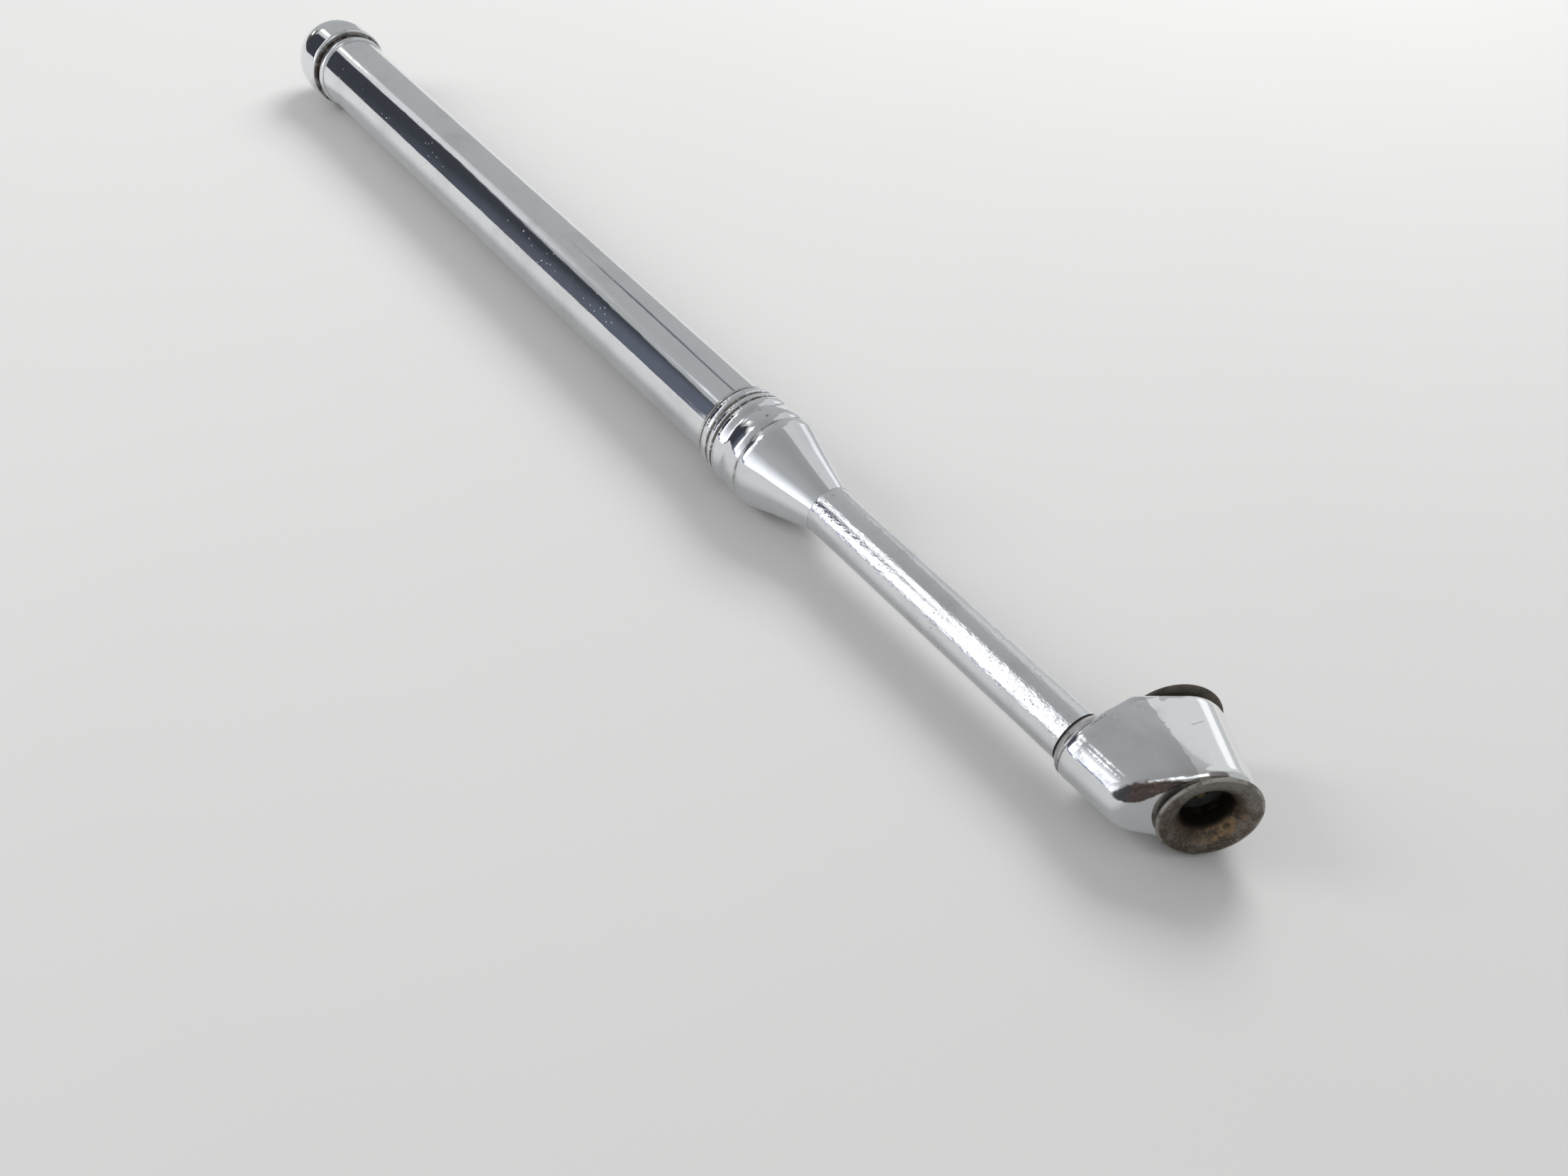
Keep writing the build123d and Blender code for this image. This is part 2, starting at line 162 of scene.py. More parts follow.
# A new material: its tree, its shader's node and its Object coordinates.
class Finish:
    def __init__(self, name):
        self.material = bpy.data.materials.new(name)
        self.material.use_nodes = True
        self.tree = self.material.node_tree
        self.shader = self.tree.nodes["Principled BSDF"]
        self.maker = Wire(self.tree)
        self.place = self.maker.node("ShaderNodeTexCoord", out="Object")

    # Object coordinates, turned into the axes of a piece and measured from its middle
    def local(self, middle, turn):
        back = turn.transposed()
        return self.maker.node(
            "ShaderNodeMapping",
            {"vector_type": "POINT"},
            {"Vector": self.place, "Rotation": back.to_euler(), "Location": -(back @ middle)},
        )

    def stretched(self, place, scale):
        return self.maker.node(
            "ShaderNodeMapping",
            {"vector_type": "POINT"},
            {"Vector": place, "Scale": scale},
        )

    def noise(self, place, scale, detail=3.0, roughness=0.55):
        sockets = {"Vector": place, "Scale": scale, "Detail": detail, "Roughness": roughness}
        return self.maker.node("ShaderNodeTexNoise", None, sockets)

    def cells(self, place, scale):
        return self.maker.node("ShaderNodeTexVoronoi", {"feature": "F1"}, {"Vector": place, "Scale": scale})

    # a value or a link for one of the shader's own sockets
    def wire(self, socket, value):
        if isinstance(value, Wire):
            self.tree.links.new(value.socket, self.shader.inputs[socket])
        else:
            self.shader.inputs[socket].default_value = value

    # layers of (height, distance in metres), each on top of the one before
    def bump(self, *layers):
        normal = None
        for height, distance in layers:
            sockets = {"Height": height, "Distance": distance, "Strength": 1.0}
            if normal is not None:
                sockets["Normal"] = normal
            normal = self.maker.node("ShaderNodeBump", None, sockets)
        self.wire("Normal", normal)


# What all the chromed pieces share. Scales are per metre, and sizes are a share of a pattern's cell.
chrome = {
    "colour": rgb(0.80, 0.81, 0.83),
    "dullColour": rgb(0.58, 0.58, 0.58),
    # the grime colour is also the painted shade in the collar's valleys and the ferrule's groove
    "grimeAndShadeColour": rgb(0.10, 0.085, 0.07),
    "gloss": 0.035,
    "haze": 0.14,
    "smudgeScale": 90.0,
    "smudgeLevels": (0.46, 0.75),
    "smudgeStrength": 0.45,
    "grain": (14.0, 1500.0, 1500.0),
    "lineRoughness": 0.04,
    "patchScale": 75.0,
    "pitScale": 650.0,
    "pitSize": (0.05, 0.13),
    "pitDirt": 0.85,
    "pitRoughness": 0.35,
    "pitMetalLoss": 0.5,
    "nickScale": 330.0,
    "nickSize": (0.03, 0.09),
    "dentStretch": (0.35, 1.0, 1.0),
    "dentsEverywhere": 0.35,
    "calmStrength": 0.95,
    "waveScale": 110.0,
    "stainMetalLoss": 1.15,
}

# How worn each chromed piece is. Lines, dents, nicks and waves are heights in metres, and pits is the
# level of the patches at which the pits start.
wear = {
    "barrel": {
        "lines": 0.000006, "dents": 0.000006, "dentScale": 900.0,
        "nicks": 0.00003, "pits": 0.47, "wave": 0.00005,
    },
    "stem": {
        "lines": 0.000024, "dents": 0.000042, "dentScale": 2100.0,
        "nicks": 0.00003, "pits": 0.47, "wave": 0.00006,
    },
    "ferrule": {
        "lines": 0.000003, "dents": 0.000016, "dentScale": 700.0,
        "nicks": 0.00003, "pits": 0.52, "wave": 0.00020,
    },
    "collar": {
        "lines": 0.000004, "dents": 0.000130, "dentScale": 1000.0,
        "nicks": 0.00003, "pits": 0.44, "wave": 0.00020,
    },
    "cap": {
        "lines": 0.000003, "dents": 0.000010, "dentScale": 700.0,
        "nicks": 0.00003, "pits": 0.56, "wave": 0.00010,
    },
    "mouth": {
        "lines": 0.000002, "dents": 0.000030, "dentScale": 900.0,
        "nicks": 0.00003, "pits": 0.44, "wave": 0.00005,
    },
    "head": {
        "lines": 0.000001, "dents": 0.000034, "dentScale": 620.0,
        "nicks": 0.00004, "pits": 0.50, "wave": 0.00001,
    },
}


# Chrome with smudges, lines from polishing, small dents and black pits. Colour layers gives rows of (mask,
# colour, added roughness) for stains and for painted shade, and the rougher a layer is, the less metal
# shows through it. Calm gives a mask of where the surface is free from dents.
def chromeFinish(name, use, middle=axisPoint, turn=unturned, grain=chrome["grain"], colourLayers=None, calm=None):
    finish = Finish(name)
    place = finish.local(middle, turn)
    level = use["pits"]
    smudge = finish.noise(place, chrome["smudgeScale"], 5.0, 0.6)
    lines = finish.noise(finish.stretched(place, grain), 1.0, 4.0, 0.6)
    patches = finish.noise(place, chrome["patchScale"], 3.0, 0.6)
    pits = 1 - finish.cells(place, chrome["pitScale"]).step(*chrome["pitSize"])
    pits = pits * patches.step(level, level + 0.14)
    nicks = 1 - finish.cells(place, chrome["nickScale"]).step(*chrome["nickSize"])
    nicks = nicks * patches.step(level - 0.06, level + 0.06)
    dents = finish.noise(finish.stretched(place, chrome["dentStretch"]), use["dentScale"], 2.0, 0.5)
    dull = smudge.step(*chrome["smudgeLevels"]) * chrome["smudgeStrength"]
    colour = mixColours(dull, chrome["colour"], chrome["dullColour"])
    colour = mixColours(pits * chrome["pitDirt"], colour, chrome["grimeAndShadeColour"])
    rough = chrome["gloss"] + dull * chrome["haze"] + lines.step(0.5, 0.8) * chrome["lineRoughness"]
    rough = rough + pits * chrome["pitRoughness"]
    metallic = 1 - pits * chrome["pitMetalLoss"]
    for mask, layerColour, roughness in (colourLayers(finish, place) if colourLayers else []):
        colour = mixColours(mask, colour, layerColour)
        rough = rough + mask * roughness
        metallic = metallic - mask * (roughness * chrome["stainMetalLoss"])
    finish.wire("Base Color", colour)
    finish.wire("Metallic", metallic)
    finish.wire("Roughness", rough)
    wave = finish.noise(place, chrome["waveScale"], 1.0)
    dented = chrome["dentsEverywhere"] + patches.step(level - 0.15, level + 0.05)
    roughened = (dents - 0.5) * dented
    if calm:
        roughened = roughened * (1 - calm(place) * chrome["calmStrength"])
    finish.bump(
        (wave, use["wave"]),
        (lines, use["lines"]),
        (roughened, use["dents"]),
        (-(nicks + pits), use["nicks"]),
    )
    return finish.material


def dressNodes(material, *names):
    for name in names:
        node = frame["nodes"][name]
        node.data.materials.clear()
        node.data.materials.append(material)


# Dark brown fills the gap between the cap and the lock ring: painted shade in that recess, darker in spots
# of dirt. It fades in just before the barrel's end and out just past the ring's back, over these lengths in
# metres.
gapShadeAndDirt = {
    "colour": rgb(0.062, 0.048, 0.038),
    "fadeIn": (0.00045, 0.00015),
    "fadeOut": 0.0003,
    "spotScale": 600.0,
    "cover": 0.72,
    "spotCover": 0.25,
    "roughness": 0.4,
}


# painted shade in the gap between the cap and the lock ring, darker where spots of dirt lie
def shadeAndDirtInGap(finish, place):
    x = place.parts()[0] + axisPoint.x
    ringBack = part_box("lock_ring")[0].x
    fadeStart, fadeEnd = gapShadeAndDirt["fadeIn"]
    inGap = x.step(barrelLow.x - fadeStart, barrelLow.x - fadeEnd)
    inGap = inGap * (1 - x.step(ringBack, ringBack + gapShadeAndDirt["fadeOut"]))
    spots = finish.noise(place, gapShadeAndDirt["spotScale"], 3.0, 0.6).step(0.4, 0.6)
    cover = inGap * (gapShadeAndDirt["cover"] + spots * gapShadeAndDirt["spotCover"])
    return [(cover, gapShadeAndDirt["colour"], gapShadeAndDirt["roughness"])]


dressNodes(chromeFinish("barrelChrome", wear["barrel"], colourLayers=shadeAndDirtInGap), "barrel_tube")
dressNodes(chromeFinish("stemChrome", wear["stem"]), "stem_tube")
dressNodes(chromeFinish("capChrome", wear["cap"], colourLayers=shadeAndDirtInGap), "end_cap", "bar_end_button")
print("scene: chromed pieces")


turning = {
    "steps": 128,
    "weld": 0.0000001,  # metres between points that become one
    "sameRing": 0.000002,  # metres from a ring's place and radius within which an edge is the ring's
    "sharpAngle": 38,
}


# A turned piece: its outline of (distance along the axis, radius) points is spun about the axis. Rounded
# has rows of (a ring's number in the outline, the rounding's size, its segments). The place puts the
# axis where it belongs.
def turned(name, outline, rounded, place):
    shape = bmesh.new()
    points = [shape.verts.new((x, 0, radius)) for x, radius in outline]
    sides = [shape.edges.new((points[index - 1], points[index])) for index in range(len(points))]
    bmesh.ops.spin(
        shape,
        geom=points + sides,
        cent=(0, 0, 0),
        axis=(1, 0, 0),
        angle=math.tau,
        steps=turning["steps"],
        use_merge=True,
    )
    bmesh.ops.remove_doubles(shape, verts=shape.verts[:], dist=turning["weld"])
    bmesh.ops.recalc_face_normals(shape, faces=shape.faces[:])
    for index, offset, segments in rounded:
        x, radius = outline[index]

        def onRing(vert):
            apart = abs(vert.co.x - x) + abs(math.hypot(vert.co.y, vert.co.z) - radius)
            return apart < turning["sameRing"]

        ring = [edge for edge in shape.edges if all(onRing(vert) for vert in edge.verts)]
        bmesh.ops.bevel(
            shape,
            geom=ring,
            offset=offset,
            affect="EDGES",
            segments=segments,
            profile=0.5,
            material=-1,
        )
    bmesh.ops.transform(shape, matrix=place, verts=shape.verts[:])
    mesh = bpy.data.meshes.new(name)
    shape.to_mesh(mesh)
    shape.free()
    mesh.shade_smooth()
    mesh.set_sharp_from_angle(angle=math.radians(turning["sharpAngle"]))
    piece = bpy.data.objects.new(name, mesh)
    bpy.context.scene.collection.objects.link(piece)
    return piece


gaugeAxis = Matrix.Translation((0, axisPoint.y, axisPoint.z))

# The lock ring is a narrow rounded bead beside the cap. Crest, shoulder and bore are radii.
lockRing = {
    "crest": 0.00905,
    "shoulder": 0.00875,
    "bore": 0.00851,
    "slope": 0.9,  # each slope's share of a third of the width
    "shoulderRounding": 0.00022,
    "crestRounding": 0.0003,
}


def makeLockRing():
    low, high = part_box("lock_ring")
    slope = (high.x - low.x) / 3 * lockRing["slope"]
    outline = [
        (low.x, lockRing["bore"]),
        (low.x, lockRing["shoulder"]),
        (low.x + slope, lockRing["crest"]),
        (high.x - slope, lockRing["crest"]),
        (high.x, lockRing["shoulder"]),
        (high.x, lockRing["bore"]),
    ]
    rounded = [
        (1, lockRing["shoulderRounding"], 3),
        (2, lockRing["crestRounding"], 4),
        (3, lockRing["crestRounding"], 4),
        (4, lockRing["shoulderRounding"], 3),
    ]
    piece = turned("lock_bead", outline, rounded, gaugeAxis)
    piece.data.materials.append(chromeFinish("lockRingChrome", wear["cap"], colourLayers=shadeAndDirtInGap))
    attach(piece, "casing")
    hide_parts("lock_ring")


# The collar's rings: a thin lip, two rings of unlike sizes and a wide smooth one, with valleys between.
# Each outline row is (distance from the band's back, radius, rounding), and each valley is (distance
# from the band's back, width of its painted shade).
rings = {
    "outline": [
        (0.0, 0.00895, 0.0001),
        (0.00045, 0.00900, 0.0001),
        (0.00075, 0.00870, 0.00006),
        (0.00105, 0.00928, 0.0002),
        (0.0022, 0.00942, 0.0004),
        (0.0030, 0.00898, 0.0001),
        (0.00345, 0.00950, 0.00025),
        (0.0044, 0.00960, 0.00025),
        (0.00475, 0.00916, 0.00008),
        (0.0053, 0.00978, 0.0003),
    ],
    "crest": 0.00986,
    "bore": 0.00851,
    "valleys": [(0.0, 0.00016), (0.00075, 0.00028), (0.0030, 0.00040), (0.00475, 0.00028)],
    "grimeAndShadeScale": 700.0,
    "crestGrime": 0.35,
    "valleyShade": 0.93,
    "grimeAndShadeRoughness": 0.3,
}


def makeRings():
    low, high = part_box("collar_rings")
    outline = [(low.x, rings["bore"])] + [(low.x + x, radius) for x, radius, _ in rings["outline"]]
    outline += [(high.x, rings["crest"]), (high.x, rings["bore"])]
    rounded = [(index + 1, row[2], 4) for index, row in enumerate(rings["outline"])]
    piece = turned("ring_band", outline, rounded, gaugeAxis)

    # painted shade in the valleys, and grime here and there on the crests
    def colourLayers(finish, place):
        x = place.parts()[0]
        spots = finish.noise(place, rings["grimeAndShadeScale"], 3.0, 0.6)
        grimeAndShade = spots.step(0.60, 0.70) * rings["crestGrime"]
        for valley, width in rings["valleys"]:
            across = (x - (low.x - axisPoint.x + valley)).absolute()
            near = 1 - across.step(width * 0.7, width * 1.5)
            grimeAndShade = grimeAndShade.larger(near * spots.step(0.25, 0.48) * rings["valleyShade"])
        return [(grimeAndShade, chrome["grimeAndShadeColour"], rings["grimeAndShadeRoughness"])]

    piece.data.materials.append(chromeFinish("collarChrome", wear["collar"], colourLayers=colourLayers))
    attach(piece, "casing")
    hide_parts("collar_rings")


makeLockRing()
makeRings()

# The ferrule in one flowing outline: soft dip, wide bead, thin groove, shoulder and a slightly hollow
# cone. Tip, spigot and bore are radii, and the groove is given by its distance from the collar's end.
ferrule = {
    "hollow": 0.00022,
    "coneRounding": 0.0045,
    "tip": 0.00504,
    "spigot": 0.00755,
    "bore": 0.0026,
    "groove": 0.0066,
    "grooveWidth": (0.0001, 0.0004),
    # painted shade in the groove, with spots of dirt: their scale, cover, spots and roughness
    "grimeAndShadeScale": 520.0,
    "grimeAndShade": 0.15,
    "grimeSpots": 0.6,
    "grimeAndShadeRoughness": 0.3,
    # rows of distance from the collar's end, radius and rounding
    "outline": [
        (0.0, 0.00986, 0.0),
        (0.0006, 0.00982, 0.0005),
        (0.0018, 0.00938, 0.0006),
        (0.0034, 0.00978, 0.0007),
        (0.0046, 0.00990, 0.0005),
        (0.0058, 0.00982, 0.0006),
        (0.0066, 0.00948, 0.00015),
        (0.0072, 0.00986, 0.0003),
        (0.0084, 0.00988, 0.0008),
    ],
}


def makeFerrule():
    low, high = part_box("cone_ferrule")
    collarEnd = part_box("collar_rings")[1].x
    rows = ferrule["outline"]
    shoulder, shoulderRadius, _ = rows[-1]
    middle = (collarEnd + shoulder + high.x) / 2
    socket = stemRadius + clearance
    outline = [(low.x, ferrule["bore"]), (low.x, ferrule["spigot"]), (collarEnd, ferrule["spigot"])]
    first = len(outline)
    outline += [(collarEnd + x, radius) for x, radius, _ in rows]
    outline += [
        (middle, (shoulderRadius + ferrule["tip"]) / 2 - ferrule["hollow"]),
        (high.x, ferrule["tip"]),
        (high.x, socket),
        (stemLow.x, socket),
        (stemLow.x, ferrule["bore"]),
    ]
    rounded = [(first + index, row[2], 6) for index, row in enumerate(rows) if row[2]]
    rounded.append((first + len(rows), ferrule["coneRounding"], 8))
    piece = turned("soft_ferrule", outline, rounded, gaugeAxis)

    # painted shade in the groove before the shoulder, darker in spots of dirt
    def colourLayers(finish, place):
        x = place.parts()[0]
        across = (x - (collarEnd + ferrule["groove"] - axisPoint.x)).absolute()
        inGroove = 1 - across.step(*ferrule["grooveWidth"])
        spots = finish.noise(place, ferrule["grimeAndShadeScale"], 3.0, 0.6).step(0.42, 0.6)
        cover = inGroove * (ferrule["grimeAndShade"] + spots * ferrule["grimeSpots"])
        return [(cover, chrome["grimeAndShadeColour"], ferrule["grimeAndShadeRoughness"])]

    piece.data.materials.append(chromeFinish("ferruleChrome", wear["ferrule"], colourLayers=colourLayers))
    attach(piece, "casing")
    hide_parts("cone_ferrule")


makeFerrule()
print("scene: lock ring, collar and ferrule")

# The chuck head: a polished casting, so every edge of the solid is softened. Lengths are in metres.
head = {
    "weld": 0.000002,
    "voxel": 0.00026,
    "softness": 0.5,
    "rounds": 14,
    "flankRounds": 60,
    "flankStart": 0.0030,  # along the gauge, past the washer's front
    "flankEdge": -0.0045,  # sideways from the head's middle
    "flankStep": 0.00003,
    "grain": (300.0, 300.0, 300.0),
    "dentsEnd": (-0.0155, -0.0125),  # sideways, where the dents fade out
}


def makeHead():
    shape = bmesh.new()
    shape.from_mesh(frame["nodes"]["chuck_head"].data)
    bmesh.ops.remove_doubles(shape, verts=shape.verts[:], dist=head["weld"])
    mesh = bpy.data.meshes.new("soft_head")
    shape.to_mesh(mesh)
    shape.free()
    softHead = bpy.data.objects.new("soft_head", mesh)
    bpy.context.scene.collection.objects.link(softHead)
    remesh = softHead.modifiers.new("remesh", "REMESH")
    remesh.mode = "VOXEL"
    remesh.voxel_size = head["voxel"]
    remesh.adaptivity = 0.0
    evaluated = softHead.evaluated_get(bpy.context.evaluated_depsgraph_get())
    remeshed = bpy.data.meshes.new_from_object(evaluated)
    softHead.modifiers.clear()
    softHead.data = remeshed
    shape = bmesh.new()
    shape.from_mesh(remeshed)
    # the flank beside the stem is rounded far more than the rest, and each further round takes in a
    # little less of it
    back = headTurn.transposed()
    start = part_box("stem_washer")[1].x + head["flankStart"]
    for index in range(head["rounds"] + head["flankRounds"]):
        soft = shape.verts[:]
        if index >= head["rounds"]:
            edge = head["flankEdge"] - head["flankStep"] * (index - head["rounds"])
            soft = [v for v in soft if v.co.x > start and (back @ (v.co - headMiddle)).x < edge]
        bmesh.ops.smooth_vert(
            shape,
            verts=soft,
            factor=head["softness"],
            use_axis_x=True,
            use_axis_y=True,
            use_axis_z=True,
        )
    for face in shape.faces:
        face.smooth = True
    shape.to_mesh(remeshed)
    shape.free()
    remeshed.materials.clear()
    material = chromeFinish(
        "headChrome",
        wear["head"],
        headMiddle,
        headTurn,
        head["grain"],
        colourLayers=headStains,
        calm=headCalm,
    )
    remeshed.materials.append(material)
    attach(softHead, "casing")
    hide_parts("chuck_head")


# The head is smooth between its feet, and only the rounded flank beside the stem has dents.
def headCalm(place):
    side = place.parts()[0]
    return side.step(*head["dentsEnd"])


# The marks on the head, in millimetres along its own axes: sideways, up and forward. Starts, fronts,
# feet, ends and fades given as pairs are where a mark fades in or out.
headMarks = {
    "wornColour": rgb(0.042, 0.021, 0.016),
    "wornLight": rgb(0.125, 0.072, 0.055),
    "wornDark": rgb(0.030, 0.032, 0.040),
    "wornRoughness": 0.3,
    "darkFrom": (-15.2, -13.6),
    "edge": 0.25,  # half the width of a worn edge
    "crescentTop": 6.8,
    "crescentStart": 4.5,
    "crescentSlope": 0.14,
    "crescentBend": 2.6,
    "crescentBendLength": 12,
    "crescentFoot": 1.9,
    "crescentRise": 0.69,
    "crescentRiseFrom": -12,
    "crescentEnds": ((-16.9, -16.3), (-5.2, -4.0)),
    "crescentFront": (7.2, 7.8),
    "crescentCover": 0.95,
    "spotPlace": (-0.8, 7.95),  # sideways and up
    "spotSize": (1.7, 0.5),
    "spotFront": (8.2, 8.8),
    "spotCover": 0.75,
    "scratchStart": (-2.33, -1.58),  # a place: sideways and forward
    "scratchAim": (0.952, 0.306),  # sideways and back
    "scratchWidth": (0.03, 0.10),
    "scratchEnds": ((0.0, 0.5), (2.4, 2.95)),
    "scratchFoot": (6.0, 6.5),
    "scratchCover": 0.75,
    "topStart": (5.5, 6.5),
    # the top: brighter on one side of a ragged line, duller and rougher on the other
    "brightSide": rgb(0.91, 0.91, 0.91),
    "dullSide": rgb(0.60, 0.60, 0.60),
    "dullRoughness": 0.04,
    "dullLine": 5.95,
    "dullLean": 0.235,
    "dullEdge": 0.07,
    "dullFade": (0.6, 5.0),
    "dullFaded": 0.7,
}


# Where the chrome is worn through to brown metal: a crescent along the edge by the front foot
def wornCrescent(side, up, out, ragged):
    edge = headMarks["edge"]
    farEnd, nearEnd = headMarks["crescentEnds"]
    reach = (-side - headMarks["crescentStart"]).larger(0.0)
    bend = (reach / headMarks["crescentBendLength"]).power(6.0) * headMarks["crescentBend"]
    top = headMarks["crescentTop"] - reach * headMarks["crescentSlope"] - bend
    rise = (side - headMarks["crescentRiseFrom"]).larger(0.0) * headMarks["crescentRise"]
    bottom = rise + headMarks["crescentFoot"]
    worn = (up + ragged - bottom).step(-edge, edge) * (1 - (up + ragged * 0.6 - top).step(-edge, edge))
    return worn * out.step(*headMarks["crescentFront"]) * (1 - side.step(*nearEnd)) * side.step(*farEnd)


# One worn spot near the crescent's end
def wornSpot(side, up, out, ragged):
    (sideMiddle, upMiddle), (width, height) = headMarks["spotPlace"], headMarks["spotSize"]
    apart = ((side - sideMiddle) / width).power(2.0) + ((up - upMiddle) / height).power(2.0)
    return (1 - (apart + ragged * 0.8).step(0.6, 1.3)) * out.step(*headMarks["spotFront"])


# One dark scratch across the top
def darkScratch(side, up, out, ragged):
    (sideStart, outStart), (aimSide, aimOut) = headMarks["scratchStart"], headMarks["scratchAim"]
    firstEnd, lastEnd = headMarks["scratchEnds"]
    across = (side - sideStart) * aimOut + (out - outStart) * aimSide + ragged * 0.05
    length = (side - sideStart) * aimSide - (out - outStart) * aimOut
    scratch = (1 - across.absolute().step(*headMarks["scratchWidth"])) * length.step(*firstEnd)
    return scratch * (1 - length.step(*lastEnd)) * up.step(*headMarks["scratchFoot"])


def headStains(finish, place):
    side, up, out = [part * 1000 for part in place.parts()]
    ragged = (finish.noise(place, 900.0, 5.0, 0.65) - 0.5) * 1.3
    ragged = ragged + (finish.noise(place, 260.0, 2.0) - 0.5) * 1.2
    mottled = finish.noise(place, 1500.0, 4.0, 0.7).step(0.45, 0.7)
    brown = mixColours(mottled, headMarks["wornColour"], headMarks["wornLight"])
    brown = mixColours(1 - side.step(*headMarks["darkFrom"]), brown, headMarks["wornDark"])
    # the top is brighter on one side of a ragged line, and duller and rougher on the other, fading away
    # from it
    wiggle = (finish.noise(place, 620.0, 3.0, 0.6) - 0.5) * 1.5
    wiggle = wiggle + (finish.noise(place, 1900.0, 2.0) - 0.5) * 0.5
    line = side + headMarks["dullLine"] - out * headMarks["dullLean"] + wiggle
    edge = headMarks["dullEdge"]
    top = up.step(*headMarks["topStart"])
    brightPart = line.step(-edge, edge)
    faded = 1 - (-line).step(*headMarks["dullFade"]) * headMarks["dullFaded"]
    worn = wornCrescent(side, up, out, ragged) * headMarks["crescentCover"]
    spot = wornSpot(side, up, out, ragged) * headMarks["spotCover"]
    scratch = darkScratch(side, up, out, ragged) * headMarks["scratchCover"]
    return [
        (brightPart * top, headMarks["brightSide"], 0.0),
        ((1 - brightPart) * faded * top, headMarks["dullSide"], headMarks["dullRoughness"]),
        (worn, brown, headMarks["wornRoughness"]),
        (spot, brown, headMarks["wornRoughness"]),
        (scratch, chrome["grimeAndShadeColour"], headMarks["wornRoughness"]),
    ]


# The socket's bevelled mouth, from the stem out to the head's flank. Throat and lip are measured from
# the washer's back, rim and front from its front, and the two gaps from the stem's surface.
socketMouth = {
    "throat": 0.00040,
    "lip": 0.0007,
    "rim": 0.0003,
    "front": 0.0008,
    "lipGap": 0.00035,
    "rimGap": 0.0011,
    "lipRounding": 0.0002,
    "rimRounding": 0.00035,
    "film": rgb(0.20, 0.175, 0.165),
    "filmScale": 480.0,
    "filmCover": 0.45,
    "filmSpots": 0.4,
    "dullRoughness": 0.3,
}


def makeSocketMouth():
    washerLow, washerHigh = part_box("stem_washer")
    inner = (washerHigh.z - washerLow.z) / 2 + clearance
    rimRadius = stemRadius + socketMouth["rimGap"]
    outline = [
        (washerLow.x + socketMouth["throat"], inner),
        (washerLow.x + socketMouth["throat"], stemRadius + clearance),
        (washerLow.x + socketMouth["lip"], stemRadius + socketMouth["lipGap"]),
        (washerHigh.x + socketMouth["rim"], rimRadius),
        (washerHigh.x + socketMouth["front"], rimRadius),
        (washerHigh.x + socketMouth["front"], inner),
    ]
    rounded = [(2, socketMouth["lipRounding"], 3), (3, socketMouth["rimRounding"], 4)]
    piece = turned("socket_mouth", outline, rounded, gaugeAxis)

    def colourLayers(finish, place):
        spots = finish.noise(place, socketMouth["filmScale"], 4.0, 0.6).step(0.42, 0.66)
        cover = socketMouth["filmCover"] + spots * socketMouth["filmSpots"]
        return [(cover, socketMouth["film"], socketMouth["dullRoughness"])]

    piece.data.materials.append(chromeFinish("mouthChrome", wear["mouth"], colourLayers=colourLayers))
    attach(piece, "casing")


makeHead()
makeSocketMouth()
print("scene: chuck head")

# The feet: nickel gone brown and grey, greyer at the top as a painted reflection of the sky, pale along the
# rim from wear and a painted highlight, paler on the rim's back as painted light, and speckled at the bore,
# with painted shade in the funnel and the bore and a painted lit patch of gold low on one side of the
# funnel.
# Face, rimBack, seat, step and inside are distances along a foot from the head's middle. Radius, crown,
# mouth, bore, neck, shank and relief are radii.
feet = {
    "grey": rgb(0.17, 0.158, 0.142),
    "brown": rgb(0.082, 0.063, 0.048),
    "pale": rgb(0.42, 0.40, 0.36),
    "gold": rgb(0.30, 0.20, 0.11),
    "dark": rgb(0.035, 0.028, 0.022),
    "lip": rgb(0.050, 0.036, 0.026),
    "face": 0.01085,
    "rimBack": 0.01028,
    "seat": 0.0095,
    "step": 0.00605,
    "inside": 0.00425,
    "radius": 0.0089,
    "crown": 0.0079,
    "mouth": 0.0062,
    "bore": 0.0043,
    "neck": 0.0068,
    "shank": 0.00615,
    "relief": 0.0047,
    "rimDrop": 0.00008,  # how far the rim, the mouth and the funnel's end lie below the face
    "mouthDrop": 0.00025,
    "funnelDrop": 0.0018,
    "mouthLip": 0.0001,  # added to the mouth's radius
    # rows of a ring's number in the outline, the rounding's size and its segments
    "rounded": [(4, 0.00012, 3), (5, 0.00022, 5), (6, 0.0004, 4), (7, 0.0011, 8), (8, 0.0010, 8)],
    "metallic": 0.8,
    "roughness": 0.36,
    "blotchScale": 330.0,
    "fineScale": 2300.0,
    "speckScale": 2100.0,
    "wearScale": 420.0,
    "blotchHeight": 0.00022,
    "fineHeight": 0.00004,
}


